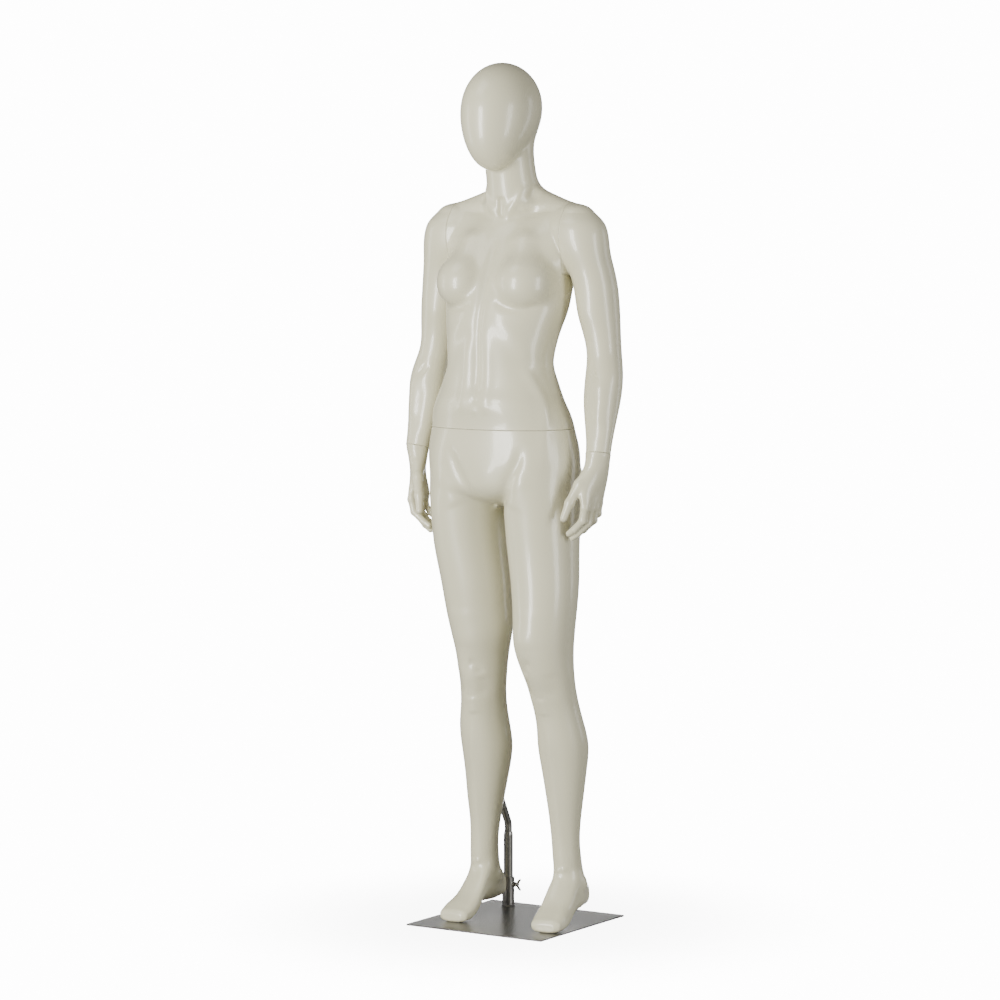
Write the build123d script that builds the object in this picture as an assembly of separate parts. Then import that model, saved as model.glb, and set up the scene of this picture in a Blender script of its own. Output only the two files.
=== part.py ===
"""Full body display mannequin on a square base plate, in millimetres.

+Z is up, the figure faces -Y, and its own left side is +X. The origin is the centre of the
base plate's underside. The figure is a set of hollow moulded shells, joined by steel
twist-lock fittings at the waist and shoulders and by round pegs at the wrists. It stands
on a cranked rod, which runs from a clamped socket on the plate into the right calf.
"""

from build123d import *
import os
from math import atan2, cos, degrees, pi, radians, sin, tan

# Driving dimensions
STATURE = 1780.0          # plate's underside to the crown
PLATE_SIDE = 330.0
PLATE_THICK = 3.0
WALL = 4.0                # moulded shell
CAP_WALL = 9.0            # thicker face that carries a fitting
SEAM_GAP = 0.6            # between two shells at a seam
BODY_X = -10.0            # the torso's middle plane: the weight is on the right leg
WAIST_SEAM = 1033.5
SHOULDER_SEAM = 137.0     # from the torso's middle plane
SHOULDER_Y = 10.0
SHOULDER_Z = 1428.0
LEG_SPLIT = 850.0         # under the crotch: one moulding, written as pelvis and two legs
WAIST_SPLIT, NECK_SPLIT = 1165.0, 1486.0   # one moulding, written as midriff, chest and head

# Stand
POST_X, POST_Y = -98.0, 124.0
SOCKET_RADIUS, SOCKET_BORE, SOCKET_TOP = 13.0, 10.06, 64.0
TUBE_RADIUS, TUBE_BORE, TUBE_TOP = 10.0, 8.05, 162.0
ROD_RADIUS = 8.0
ROD_BOTTOM, ROD_BEND, ROD_LEAN = 70.0, 180.0, 28.0   # degrees forward from upright
ROD_UPPER = 190.0         # from the bend to the tip, along the rod
CALF_SOCKET_RADIUS, CALF_SOCKET_BORE, CALF_SOCKET_LENGTH = 10.5, 8.06, 100.0
CLAMP_Z = 50.0
SCREW_RADIUS = 2.5

# Torso sections: height, middle x and y, half width, half depth
TORSO = [
    (WAIST_SEAM, -14, -26, 158, 106),
    (1065, -15, -31, 150, 106),
    (1090, -15, -35, 139, 104),
    (1114, -15, -34, 129, 98),
    (1139, -15, -34, 120, 93),
    (1164, -15, -35, 114, 90),
    (1188, -14, -34, 115, 91),
    (1237, -12, -27, 124, 97),
    (1274, -10, -18, 132, 101),
    (1310, -10, -10, 138, 101),
    (1345, -10, -3, 142, 97),
    (1380, -10, 4, 148, 90),
    (1412, -10, 9, 158, 80),
    (1440, -10, 12, 162, 66),
    (1464, -10, 14, 158, 50),
    (1482, -10, 14, 128, 42),
    (1496, -10, 12, 88, 44),
    (1512, -10, 8, 62, 48),
    (1535, -10, 2, 53, 50),
    (1580, -10, -8, 51, 51),
    (1620, -10, -18, 48, 50),
    (1650, -10, -26, 42, 46),
]
# Head sections: the egg, from the chin to just under the crown
HEAD = [
    (1561, -10, -94, 12, 12),
    (1566, -10, -86, 24, 24),
    (1575, -10, -76, 36, 40),
    (1592, -10, -62, 48, 60),
    (1620, -10, -50, 60, 80),
    (1655, -10, -43, 70, 93),
    (1694, -10, -39, 75, 99),
    (1725, -10, -36, 70, 93),
    (1750, -10, -34, 57, 77),
    (1768, -10, -32, 38, 53),
    (1777, -10, -31, 20, 29),
    (STATURE, -10, -31, 8, 12),
]
BUST_CENTRE, BUST_SIZE = (66, -60, 1338), (60, 66, 62)

# Pelvis and leg sections, top to bottom
PELVIS = [
    (WAIST_SEAM, -14, -26, 158, 106),
    (1000, -14, -24, 165, 110),
    (960, -13, -21, 171, 114),
    (915, -12, -18, 171, 113),
    (885, -12, -17, 160, 105),
    (866, -12, -16, 134, 88),
    (852, -12, -15, 88, 62),
]
LEFT_LEG = [
    (930, 76, -18, 78, 92),
    (860, 78, -18, 75, 88),
    (795, 80, -20, 72, 82),
    (720, 85, -22, 68, 78),
    (645, 86, -25, 63, 73),
    (569, 86, -24, 57, 67),
    (519, 91, -14, 51, 57),
    (470, 94, 2, 47, 55),
    (420, 98, 17, 48, 55),
    (375, 99, 27, 51, 57),
    (325, 100, 30, 46, 51),
    (268, 101, 31, 38, 43),
    (210, 103, 31, 31, 35),
    (160, 106, 32, 28, 33),
    (118, 109, 37, 28, 35),
    (80, 112, 44, 26, 36),
]
RIGHT_LEG = [
    (930, -102, -17, 78, 92),
    (860, -103, -17, 75, 88),
    (790, -102, -17, 72, 82),
    (711, -93, -14, 67, 77),
    (660, -89, -10, 64, 73),
    (610, -84, -6, 60, 68),
    (559, -81, -2, 54, 60),
    (509, -83, 3, 49, 55),
    (460, -87, 12, 46, 54),
    (406, -92, 24, 51, 58),
    (360, -91, 31, 52, 58),
    (303, -92, 33, 45, 50),
    (252, -94, 33, 38, 43),
    (200, -94, 32, 31, 35),
    (149, -95, 32, 28, 33),
    (112, -96, 37, 28, 35),
    (78, -97, 44, 26, 36),
]
# Foot sections: distance forward of the ankle, underside, top, half width
FOOT = [
    (-55, 40, 58, 10),
    (-50, 35, 72, 19),
    (-38, 32, 90, 25),
    (-12, 32, 116, 29),
    (22, 31, 116, 31),
    (50, 23, 94, 33),
    (76, 11, 68, 36),
    (98, 5.5, 49, 38),
    (116, 5.2, 35, 35),
    (129, 5.6, 27, 28),
    (137, 7.5, 22, 19),
    (140, 10, 18, 12),
]
LEFT_ANKLE, LEFT_TOE_OUT = (113, 41), 7.2
RIGHT_ANKLE, RIGHT_TOE_OUT = (-97, 40), 2.0

# Arm sections from the torso's middle plane: height, outward, y, half width, half depth
ARM = [
    (1480, 144, 13, 20, 24),
    (1468, 151, 13, 33, 38),
    (1450, 158, 13, 43, 48),
    (1430, 164, 14, 48, 52),
    (1405, 169, 15, 49, 52),
    (1374, 175, 20, 47, 50),
    (1338, 183, 26, 44.5, 48),
    (1288, 190, 29, 43.5, 47),
    (1240, 197, 30, 39, 42),
    (1191, 205, 29, 35, 39),
    (1142, 213, 16, 39, 38),
    (1094, 214, 7, 38, 37),
    (1045, 217, -5, 32, 31),
    (1005, 220, -15, 27, 26),
    (970, 222, -25, 25, 26),
]
ARM_TOP = (141, 13, 1486)
WRIST = (221.0, -20.0, 985.0)            # outward from the middle plane, y, height
FOREARM = Vector(0.066, -0.26, -1.0).normalized()    # down the left forearm

# Left hand, from the wrist's centre. Palm: height, x, y, half width, half thickness, and the
# turn of its width from +X, which brings the palm round to face the thigh
PALM = [
    (12, 1, 3, 27, 20, 50),
    (0, 0, 0, 27, 20, 52),
    (-20, -1, -1, 27, 18, 58),
    (-50, -4, -5, 31, 16, 70),
    (-80, -8, -9, 36, 14, 82),
    (-100, -9, -10, 36, 12.5, 88),
    (-113, -9, -10, 31, 9, 90),
]
# Fingers: x, y, height and radius at the root inside the palm and at each joint
FINGERS = {
    "index": [(-8, -29, -86, 5), (-9, -37, -108, 8.6), (-15, -36, -134, 8), (-36, -34, -153, 7), (-50, -33, -162, 6.2)],
    "middle": [(-9, -16, -86, 5), (-8, -19, -110, 8.8), (-12, -20, -140, 8.2), (-34, -22, -161, 7.2), (-47, -23, -171, 6.3)],
    "ring": [(-9, -1, -86, 5), (-7, -1, -108, 8.4), (-9, -2, -135, 7.8), (-30, -7, -155, 6.9), (-43, -10, -164, 6.1)],
    "little": [(-9, 12, -82, 5), (-8, 17, -102, 7.6), (-9, 16, -123, 6.9), (-26, 9, -139, 6), (-38, 5, -147, 5.4)],
    "thumb": [(-8, -12, -30, 7), (-23, -35, -60, 11), (-37, -51, -98, 9.6), (-45, -61, -129, 7.4)],
}
PEG_RADIUS, PEG_LENGTH, PEG_IN_HAND = 8.0, 30.0, 20.0
BUSH_RADIUS, BUSH_BORE, BUSH_LENGTH = 11.0, 8.05, 34.0

# Twist-lock fittings
WAIST_PLATE_RADIUS, SHOULDER_PLATE_RADIUS = 45.0, 28.0
FITTING_THICK = 3.0
FITTING_CLEARANCE = 0.3
RUNNING_CLEARANCE = 0.05
RING_POINTS = 12          # points on one section's closed curve


def oval(centre, wide, deep, half_wide, half_deep):
    """A closed smooth section round a centre, in the plane of the two directions."""
    ring = [
        centre + wide * (half_wide * cos(2 * pi * k / RING_POINTS))
        + deep * (half_deep * sin(2 * pi * k / RING_POINTS))
        for k in range(RING_POINTS)
    ]
    return make_face(Spline(*ring, periodic=True))


def level_section(height, x, y, half_x, half_y):
    """A horizontal section."""
    return oval(Vector(x, y, height), Vector(1, 0, 0), Vector(0, 1, 0), half_x, half_y)


def skin(sections, top=None):
    """A solid through horizontal sections, closed to a point at the top where one is given."""
    faces = [level_section(*s).face() for s in sections]
    if top:
        faces.insert(0, Vertex(*tuple(top)))
    return Solid(loft(faces).solid().wrapped)


def hollow_of(sections, wall=WALL):
    """The space inside the same sections, one wall in, and a cap's thickness off each end."""
    inner = [[h, x, y, a - wall, b - wall] for h, x, y, a, b in sections]
    down = 1 if inner[0][0] > inner[-1][0] else -1
    inner[0][0] -= down * CAP_WALL
    inner[-1][0] += down * CAP_WALL
    return skin(inner)


def block(x0, x1, y0, y1, z0, z1):
    """A box between two corners, used to trim shells."""
    centre = Pos((x0 + x1) / 2, (y0 + y1) / 2, (z0 + z1) / 2)
    return centre * Box(x1 - x0, y1 - y0, z1 - z0)


def rod_along(start, direction, radius, length):
    """A cylinder from a start point along a direction."""
    return Plane(origin=start, z_dir=direction) * Cylinder(
        radius, length, align=(Align.CENTER, Align.CENTER, Align.MIN)
    )


def ellipsoid(centre, size):
    """A sphere stretched to three half sizes."""
    return Pos(*centre) * scale(Sphere(1), by=size)


def at_left(outward, y, height):
    """A point given outward from the torso's middle plane, on the figure's left."""
    return Vector(BODY_X + outward, y, height)


def to_right(shape):
    """The mirror image across the torso's middle plane."""
    return mirror(shape, about=Plane(origin=(BODY_X, 0, 0), z_dir=(1, 0, 0)))


def write(name, shape):
    """Writes one node."""
    shape.label = name
    export_step(shape, f"parts/{name}.step")


# ---------------------------------------------------------------- stand


def post_axis_point(along):
    """A point on the rod's leaning upper run, measured from the bend."""
    lean = radians(ROD_LEAN)
    return Vector(POST_X, POST_Y - along * sin(lean), ROD_BEND + along * cos(lean))


ROD_DIRECTION = (post_axis_point(1) - post_axis_point(0)).normalized()


def base_plate():
    plate = extrude(RectangleRounded(PLATE_SIDE, PLATE_SIDE, 2), PLATE_THICK)
    return chamfer(plate.edges().group_by(Axis.Z)[-1], 0.6)


def post_socket():
    height = SOCKET_TOP - PLATE_THICK
    tube = Pos(POST_X, POST_Y, PLATE_THICK) * (
        Cylinder(SOCKET_RADIUS, height, align=(Align.CENTER, Align.CENTER, Align.MIN))
        - Cylinder(SOCKET_BORE, height, align=(Align.CENTER, Align.CENTER, Align.MIN))
    )
    weld = Pos(POST_X, POST_Y, PLATE_THICK) * (
        Cone(SOCKET_RADIUS + 2.5, SOCKET_RADIUS, 2.5, align=(Align.CENTER, Align.CENTER, Align.MIN))
        - Cylinder(SOCKET_BORE, 2.5, align=(Align.CENTER, Align.CENTER, Align.MIN))
    )
    hole = rod_along((POST_X, POST_Y, CLAMP_Z), (1, 0, 0), SCREW_RADIUS + 0.05, 30)
    return tube + weld - hole


NUT_START, NUT_LENGTH = SOCKET_RADIUS - 0.6, 5.6


def clamp_nut():
    seat = Plane(origin=(POST_X + NUT_START, POST_Y, CLAMP_Z), z_dir=(1, 0, 0))
    nut = seat * extrude(RegularPolygon(5.5, 6), NUT_LENGTH)
    nut -= Pos(POST_X, POST_Y, CLAMP_Z) * Cylinder(SOCKET_RADIUS, 40)
    return nut - rod_along((POST_X, POST_Y, CLAMP_Z), (1, 0, 0), SCREW_RADIUS + 0.05, 40)


def wing_screw():
    """Shank, hub and two raked wings, along +X."""
    hub_at = SOCKET_RADIUS + NUT_LENGTH + 0.6
    tip = TUBE_RADIUS + 0.05
    origin = (POST_X + tip, POST_Y, CLAMP_Z)
    shank = rod_along(origin, (1, 0, 0), SCREW_RADIUS, hub_at - tip + 1)
    hub = rod_along((POST_X + hub_at, POST_Y, CLAMP_Z), (1, 0, 0), 4.6, 5.5)
    face = Plane(origin=(POST_X + hub_at + 1.2, POST_Y, CLAMP_Z), x_dir=(0, 0, 1), z_dir=(0, 1, 0))
    screw = shank + hub
    for side in (-1, 1):
        blade = make_face(
            Polyline(
                (side * 2, 0), (side * 10, -5), (side * 13, -9.5),
                (side * 10, -11), (side * 6, -8), (side * 2, -4.2), close=True,
            )
        )
        wing = extrude(face * mirror(blade, about=Plane.XZ), 1.3, both=True)
        screw += wing
    return screw


def post_tube():
    length = TUBE_TOP - PLATE_THICK - 1.0
    base = Pos(POST_X, POST_Y, PLATE_THICK + 1.0)
    tube = base * Cylinder(TUBE_RADIUS, length, align=(Align.CENTER, Align.CENTER, Align.MIN))
    top_edge = tube.edges().filter_by(GeomType.CIRCLE).sort_by(Axis.Z)[-1]
    tube = chamfer(top_edge, 6.0, 1.2)
    return tube - base * Cylinder(TUBE_BORE, length, align=(Align.CENTER, Align.CENTER, Align.MIN))


def crank_rod():
    path = FilletPolyline(
        (POST_X, POST_Y, ROD_BOTTOM),
        (POST_X, POST_Y, ROD_BEND),
        tuple(post_axis_point(ROD_UPPER)),
        radius=32,
    )
    return sweep(Plane(origin=(POST_X, POST_Y, ROD_BOTTOM)) * Circle(ROD_RADIUS), path=path)


def calf_socket():
    """A closed-ended tube moulded into the calf, which drops over the rod's tip."""
    end = post_axis_point(ROD_UPPER + 4)
    start = end - ROD_DIRECTION * CALF_SOCKET_LENGTH
    outer = rod_along(start, ROD_DIRECTION, CALF_SOCKET_RADIUS, CALF_SOCKET_LENGTH)
    bore = rod_along(start, ROD_DIRECTION, CALF_SOCKET_BORE, CALF_SOCKET_LENGTH - 3.9)
    return outer - bore


# ---------------------------------------------------------------- twist-lock fittings


def screw_places(radius):
    """Three screw centres round a fitting's plate."""
    return [
        (0.78 * radius * cos(radians(a)), 0.78 * radius * sin(radians(a)))
        for a in (90, 210, 330)
    ]


def countersunk_screws(radius, seat, depth=5.0):
    """Flat-headed screws flush with the plate's outer face, pointing down the seat's -Z."""
    screws = []
    for x, y in screw_places(radius):
        head = Cone(2.0, 4.0, 2.2, align=(Align.CENTER, Align.CENTER, Align.MAX))
        shank = Pos(0, 0, -1.5) * Cylinder(
            2.0, FITTING_THICK + depth - 1.5, align=(Align.CENTER, Align.CENTER, Align.MAX)
        )
        screws.append(seat * Pos(x, y, 0) * (head + shank))
    return screws


def stud_plate(radius, stud_radius, seat):
    """The plate that carries the stud, flush with a shell's joint face."""
    plate = seat * Cylinder(radius, FITTING_THICK, align=(Align.CENTER, Align.CENTER, Align.MAX))
    plate -= seat * Cylinder(stud_radius, 20)
    return plate


def lock_stud(stud_radius, bar_length, bar_width, lock_angle, seat):
    """The stud with a cross bar on top, which turns behind the slotted plate."""
    reach = SEAM_GAP + FITTING_THICK + FITTING_CLEARANCE
    shaft = seat * Pos(0, 0, -FITTING_THICK) * Cylinder(
        stud_radius, FITTING_THICK + reach + 1, align=(Align.CENTER, Align.CENTER, Align.MIN)
    )
    bar = seat * Pos(0, 0, reach) * extrude(SlotOverall(bar_length, bar_width), 5)
    return shaft + bar


def slot_plate(radius, stud_radius, bar_length, bar_width, lock_angle, seat):
    """The slotted plate: the bar passes it only when turned into line with the slot."""
    plate = seat * Cylinder(radius, FITTING_THICK, align=(Align.CENTER, Align.CENTER, Align.MAX))
    slot = SlotOverall(bar_length + 1.2, bar_width + 1.2)
    plate -= seat * Cylinder(stud_radius + RUNNING_CLEARANCE, 20)
    return plate - seat * Rot(0, 0, lock_angle) * Pos(0, 0, -10) * extrude(slot, 20)


# ---------------------------------------------------------------- shells

LEGS_FACE = Plane(origin=(-14, -26, WAIST_SEAM - SEAM_GAP / 2))
TORSO_FACE = Plane(origin=(-14, -26, WAIST_SEAM + SEAM_GAP / 2), x_dir=(1, 0, 0), z_dir=(0, 0, -1))
ARM_FACE_LEFT = Plane(
    origin=(BODY_X + SHOULDER_SEAM + SEAM_GAP / 2, SHOULDER_Y, SHOULDER_Z), x_dir=(0, 0, 1), z_dir=(-1, 0, 0)
)
SOCKET_FACE_LEFT = Plane(
    origin=(BODY_X + SHOULDER_SEAM - SEAM_GAP / 2, SHOULDER_Y, SHOULDER_Z), x_dir=(0, 0, 1), z_dir=(1, 0, 0)
)
# Stud radius, bar length and width, and the turn that brings the bar into line with the slot
WAIST_FIT = (9.0, 44.0, 14.0, 60.0)
SHOULDER_FIT = (6.0, 28.0, 9.0, -45.0)


def recess(radius, face):
    """The space that a fitting's plate and screws take out of a shell."""
    cut = face * Cylinder(radius, FITTING_THICK, align=(Align.CENTER, Align.CENTER, Align.MAX))
    for screw in countersunk_screws(radius, face):
        cut += screw
    return cut


def turning_room(radius, face, depth):
    """The round space behind a slotted plate, where the stud's bar turns."""
    return face * Cylinder(radius, depth, align=(Align.CENTER, Align.CENTER, Align.MAX))


def torso_moulding():
    body = skin(TORSO) + skin(HEAD)
    for side in (-1, 1):
        centre = (BODY_X + side * BUST_CENTRE[0], BUST_CENTRE[1], BUST_CENTRE[2])
        body += ellipsoid(centre, BUST_SIZE)
    limit = SHOULDER_SEAM - SEAM_GAP / 2
    for side in (-1, 1):
        edge = BODY_X + side * limit
        x0, x1 = sorted((edge, edge + side * 80))
        body -= block(x0, x1, -200, 200, 1250, 1550)
    body -= block(-400, 400, -400, 400, WAIST_SEAM - 50, WAIST_SEAM + SEAM_GAP / 2)

    chest = [s for s in TORSO if s[0] <= 1440]
    inside = hollow_of(chest)
    for side in (-1, 1):
        edge = BODY_X + side * (limit - CAP_WALL)
        x0, x1 = sorted((edge, edge + side * 80))
        inside -= block(x0, x1, -200, 200, 1200, 1550)
    skull = hollow_of([s for s in HEAD if 1592 <= s[0] <= 1777])
    body = body - inside - skull

    body -= recess(WAIST_PLATE_RADIUS, TORSO_FACE)
    body -= turning_room(24, TORSO_FACE, 30)
    for turn in (lambda s: s, to_right):
        body -= turn(recess(SHOULDER_PLATE_RADIUS, SOCKET_FACE_LEFT))
        body -= turn(turning_room(16, SOCKET_FACE_LEFT, 30))
    return body


def foot(ankle, toe_out):
    """A raised-heel foot lofted from heel to toe; toe_out turns the toe towards +X."""
    turn = radians(toe_out)
    forward = Vector(sin(turn), -cos(turn), 0)
    across = Vector(cos(turn), sin(turn), 0)
    start = Vector(*ankle, 0)

    def at(along, height):
        return start + forward * along + Vector(0, 0, height)

    faces = []
    for along, low, high, half in FOOT:
        middle, tall = (low + high) / 2, (high - low) / 2
        faces.append(oval(at(along, middle), across, Vector(0, 0, 1), half, tall).face())
    return Solid(loft(faces).solid().wrapped)


def legs_moulding():
    body = skin(PELVIS) + skin(LEFT_LEG) + skin(RIGHT_LEG)
    body += foot(LEFT_ANKLE, LEFT_TOE_OUT) + foot(RIGHT_ANKLE, RIGHT_TOE_OUT)
    body -= block(-400, 400, -400, 400, WAIST_SEAM - SEAM_GAP / 2, WAIST_SEAM + 50)
    inside = hollow_of(PELVIS[:4], WALL + 1)
    inside += hollow_of([s for s in LEFT_LEG if s[0] >= 160], WALL + 1)
    inside += hollow_of([s for s in RIGHT_LEG if s[0] >= 149], WALL + 1)
    body = body - inside
    body -= recess(WAIST_PLATE_RADIUS, LEGS_FACE)
    start = post_axis_point(60)
    body -= rod_along(start, ROD_DIRECTION, CALF_SOCKET_RADIUS, ROD_UPPER + 4 - 60)
    return body


WRIST_POINT = at_left(*WRIST)
WRIST_FACE = Plane(origin=WRIST_POINT, z_dir=FOREARM)


def left_arm_shell():
    body = skin([(h, BODY_X + out, y, a, b) for h, out, y, a, b in ARM], at_left(*ARM_TOP))
    edge = BODY_X + SHOULDER_SEAM + SEAM_GAP / 2
    body -= block(edge - 120, edge, -200, 200, 1200, 1600)
    below = Plane(origin=WRIST_POINT - FOREARM * (SEAM_GAP / 2), z_dir=FOREARM)
    body -= below * Cylinder(80, 60, align=(Align.CENTER, Align.CENTER, Align.MIN))
    inner = [(h, BODY_X + out, y, a, b) for h, out, y, a, b in ARM if 1040 <= h <= 1455]
    inside = hollow_of(inner)
    inside -= block(edge - 120, edge + CAP_WALL, -200, 200, 1200, 1600)
    body = body - inside
    body -= recess(SHOULDER_PLATE_RADIUS, ARM_FACE_LEFT)
    up = WRIST_POINT - FOREARM * (SEAM_GAP / 2)
    return body - rod_along(up, -FOREARM, BUSH_RADIUS, BUSH_LENGTH)


def left_wrist_bush():
    up = WRIST_POINT - FOREARM * (SEAM_GAP / 2)
    outer = rod_along(up, -FOREARM, BUSH_RADIUS, BUSH_LENGTH)
    return outer - rod_along(up, -FOREARM, BUSH_BORE, BUSH_LENGTH)


def left_wrist_peg():
    start = WRIST_POINT + FOREARM * PEG_IN_HAND
    return rod_along(start, -FOREARM, PEG_RADIUS, PEG_IN_HAND + PEG_LENGTH)


def finger(joints):
    """A finger lofted through round sections at its joints, closed to a blunt tip."""
    points = [WRIST_POINT + Vector(*j[:3]) for j in joints]
    radii = [j[3] for j in joints]
    sideways = Vector(0, 1, 0)
    faces = []
    for k, point in enumerate(points):
        before, after = points[max(k - 1, 0)], points[min(k + 1, len(points) - 1)]
        deep = (after - before).cross(sideways).normalized()
        faces.append(oval(point, deep.cross(after - before).normalized(), deep, radii[k], radii[k]).face())
    along = (points[-1] - points[-2]).normalized()
    deep = along.cross(sideways).normalized()
    near_tip = points[-1] + along * (radii[-1] * 0.7)
    faces.append(oval(near_tip, deep.cross(along), deep, radii[-1] * 0.7, radii[-1] * 0.7).face())
    faces.append(Vertex(*tuple(points[-1] + along * radii[-1])))
    return Solid(loft(faces).solid().wrapped)


def palm_section(height, x, y, half_wide, half_deep, turn):
    """A level section of the palm, turned about the upright."""
    turn = radians(turn)
    wide, deep = Vector(cos(turn), sin(turn), 0), Vector(-sin(turn), cos(turn), 0)
    return oval(WRIST_POINT + Vector(x, y, height), wide, deep, half_wide, half_deep)


def left_hand():
    hand = Solid(loft([palm_section(*s).face() for s in PALM]).solid().wrapped)
    for joints in FINGERS.values():
        hand += finger(joints)
    top = WRIST_POINT + FOREARM * (SEAM_GAP / 2)
    hand -= rod_along(top, -FOREARM, 80, 60)
    return hand - rod_along(top - FOREARM * 2, FOREARM, PEG_RADIUS, PEG_IN_HAND - SEAM_GAP / 2 + 2)


# ---------------------------------------------------------------- write the nodes

os.makedirs("parts", exist_ok=True)

write("base_plate", base_plate())
write("post_socket", post_socket())
write("clamp_nut", clamp_nut())
write("wing_screw", wing_screw())
write("post_tube", post_tube())
write("crank_rod", crank_rod())
write("calf_socket", calf_socket())

legs = legs_moulding()
write("pelvis_shell", legs & block(-400, 400, -400, 400, LEG_SPLIT, WAIST_SEAM))
write("left_leg_shell", legs & block(BODY_X, 400, -400, 400, -10, LEG_SPLIT))
write("right_leg_shell", legs & block(-400, BODY_X, -400, 400, -10, LEG_SPLIT))
waist_screws = Compound(countersunk_screws(WAIST_PLATE_RADIUS, LEGS_FACE))
waist_plate = stud_plate(WAIST_PLATE_RADIUS, WAIST_FIT[0], LEGS_FACE)
write("waist_stud_plate", waist_plate - waist_screws)
write("waist_stud", lock_stud(*WAIST_FIT, LEGS_FACE))
write("waist_stud_plate_screws", waist_screws)

torso = torso_moulding()
write("midriff_shell", torso & block(-400, 400, -400, 400, WAIST_SEAM, WAIST_SPLIT))
write("chest_shell", torso & block(-400, 400, -400, 400, WAIST_SPLIT, NECK_SPLIT))
write("head_shell", torso & block(-400, 400, -400, 400, NECK_SPLIT, 1900))
torso_screws = Compound(countersunk_screws(WAIST_PLATE_RADIUS, TORSO_FACE))
write("waist_slot_plate", slot_plate(WAIST_PLATE_RADIUS, *WAIST_FIT, TORSO_FACE) - torso_screws)
write("waist_slot_plate_screws", torso_screws)

slot_screws = Compound(countersunk_screws(SHOULDER_PLATE_RADIUS, SOCKET_FACE_LEFT))
stud_screws = Compound(countersunk_screws(SHOULDER_PLATE_RADIUS, ARM_FACE_LEFT))
LEFT_PIECES = {
    "shoulder_slot_plate": slot_plate(SHOULDER_PLATE_RADIUS, *SHOULDER_FIT, SOCKET_FACE_LEFT) - slot_screws,
    "shoulder_slot_plate_screws": slot_screws,
    "arm_shell": left_arm_shell(),
    "arm_stud_plate": stud_plate(SHOULDER_PLATE_RADIUS, SHOULDER_FIT[0], ARM_FACE_LEFT) - stud_screws,
    "arm_stud": lock_stud(*SHOULDER_FIT, ARM_FACE_LEFT),
    "arm_stud_plate_screws": stud_screws,
    "wrist_bush": left_wrist_bush(),
    "wrist_peg": left_wrist_peg(),
    "hand": left_hand(),
}
for name, shape in LEFT_PIECES.items():
    write("left_" + name, shape)
    write("right_" + name, to_right(shape))
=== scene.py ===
import bmesh
import bpy
import math
import numpy as np
import openvdb
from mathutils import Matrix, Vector


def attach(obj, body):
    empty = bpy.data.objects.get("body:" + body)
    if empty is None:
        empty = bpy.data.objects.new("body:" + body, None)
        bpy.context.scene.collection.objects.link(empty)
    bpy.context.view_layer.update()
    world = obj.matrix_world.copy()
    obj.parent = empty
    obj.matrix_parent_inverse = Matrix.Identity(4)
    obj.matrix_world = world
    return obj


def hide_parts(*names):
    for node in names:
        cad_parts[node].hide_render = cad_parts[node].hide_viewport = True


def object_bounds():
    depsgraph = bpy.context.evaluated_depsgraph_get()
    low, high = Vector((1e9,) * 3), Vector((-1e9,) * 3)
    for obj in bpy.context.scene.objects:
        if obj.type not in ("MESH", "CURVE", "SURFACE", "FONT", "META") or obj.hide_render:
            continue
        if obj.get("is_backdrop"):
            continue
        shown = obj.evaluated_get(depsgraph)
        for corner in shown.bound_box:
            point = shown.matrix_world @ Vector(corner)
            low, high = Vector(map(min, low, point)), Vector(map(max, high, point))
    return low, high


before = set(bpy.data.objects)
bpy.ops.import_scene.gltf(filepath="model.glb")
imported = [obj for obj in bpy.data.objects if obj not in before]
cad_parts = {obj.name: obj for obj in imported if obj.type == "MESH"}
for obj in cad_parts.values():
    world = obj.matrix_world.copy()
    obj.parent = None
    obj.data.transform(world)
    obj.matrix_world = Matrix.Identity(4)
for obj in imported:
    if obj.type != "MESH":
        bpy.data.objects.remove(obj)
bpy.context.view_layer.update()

# The shapes are written in millimetres in the CAD's frame: +Z up, the figure faces -Y.
MIDLINE = -10.0           # the torso's middle plane
WAIST_SEAM = 1033.5
SHOULDER_SEAM = 137.0     # outward from the middle plane
SEAM_GAP = 0.6


# ---------------------------------------------------------------- shapes as distance fields


def curve_through(rows):
    """A natural cubic spline through rows, read by their first column."""
    rows = np.array(sorted(rows), float)
    t, y = rows[:, 0], rows[:, 1:]
    h = np.diff(t)
    n = len(t)
    A = np.eye(n)
    B = np.zeros_like(y)
    for i in range(1, n - 1):
        A[i, i - 1:i + 2] = h[i - 1], 2 * (h[i - 1] + h[i]), h[i]
        B[i] = 6 * ((y[i + 1] - y[i]) / h[i] - (y[i] - y[i - 1]) / h[i - 1])
    M = np.linalg.solve(A, B)

    def at(s):
        s = np.clip(s, t[0], t[-1])
        i = np.clip(np.searchsorted(t, s) - 1, 0, n - 2)
        u, v = (t[i + 1] - s)[:, None], (s - t[i])[:, None]
        w = h[i][:, None]
        return (
            (M[i] * u ** 3 + M[i + 1] * v ** 3) / (6 * w)
            + (y[i] / w - M[i] * w / 6) * u
            + (y[i + 1] / w - M[i + 1] * w / 6) * v
        )

    return at


def join(a, b, soft):
    """Union of two fields, with a soft fillet."""
    h = np.maximum(soft - np.abs(a - b), 0) / soft
    return np.minimum(a, b) - h ** 3 * soft / 6


def oval_distance(x, y, a, b, power):
    """Distance from an oval outline, measured along the ray from its centre."""
    r = np.hypot(x, y) + 1e-9
    k = (np.abs(x / a) ** power + np.abs(y / b) ** power) ** (1 / power) + 1e-9
    return r - r / k


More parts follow.
